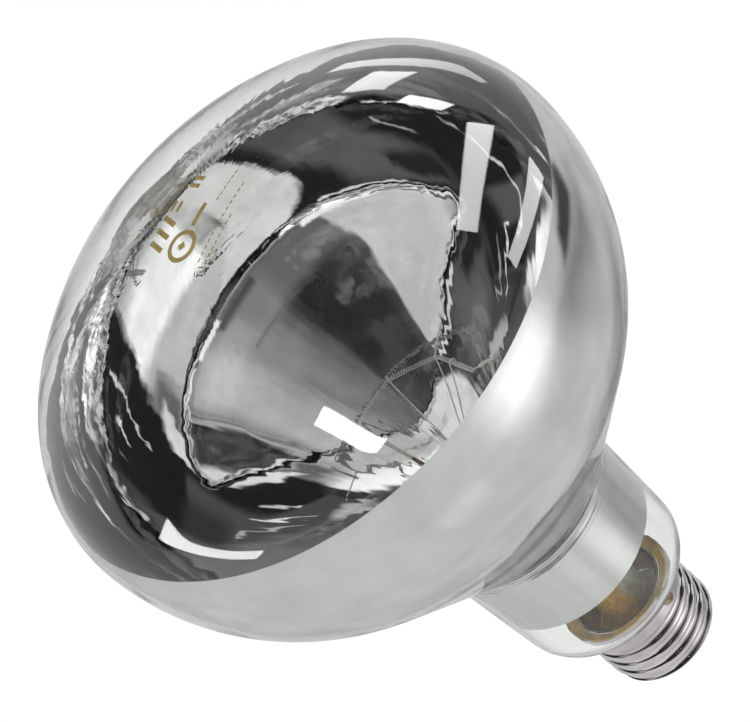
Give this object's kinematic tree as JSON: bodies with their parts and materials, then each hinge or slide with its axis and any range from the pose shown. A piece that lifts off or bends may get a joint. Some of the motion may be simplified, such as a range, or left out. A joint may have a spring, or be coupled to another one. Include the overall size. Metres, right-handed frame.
{
  "type": "infrared heat lamp bulb",
  "caption": "Blown reflector heat lamp, mirrored inside with a clear domed face, coiled filament on wire supports and an E27 screw cap.",
  "frame": {"origin": "tip of the centre contact's solder, on the lamp's axis", "axes": "+Z along the lamp's axis from the cap to the face; the filament's open side faces -Y; +X to the right seen from -Y"},
  "size_m": [0.125, 0.125, 0.1729],
  "materials": {
    "envelope_glass": "clear, polished",
    "mirror_film": "vapour-coated aluminium",
    "stem_glass": "clear, fire-polished",
    "copper_clad_wire": "dull brown",
    "nickel_wire": "satin",
    "tungsten": "satin, grey",
    "molybdenum": "satin",
    "nickel_plate": "bright nickel plate",
    "black_glass": "opaque, glossy",
    "contact_metal": "nickel-plated, satin",
    "solder": "dull tin-lead",
    "cement": "matt, amber brown"
  },
  "bodies": {
    "root": {"glass_envelope": "envelope_glass", "mirror_coating": "mirror_film", "stem_flare": "stem_glass", "stem_cane": "stem_glass", "exhaust_tube": "stem_glass", "seal_wire_a": "copper_clad_wire", "seal_wire_b": "copper_clad_wire", "inner_lead_a": "nickel_wire", "inner_lead_b": "nickel_wire", "filament": "tungsten", "filament_support_a": "molybdenum", "filament_support_b": "molybdenum", "filament_support_c": "molybdenum", "outer_lead_side": "copper_clad_wire", "outer_lead_centre": "copper_clad_wire", "cap_shell": "nickel_plate", "cap_insulator": "black_glass", "contact_plate": "contact_metal", "centre_solder": "solder", "side_solder": "solder", "capping_cement": "cement"}
  },
  "joints": []
}
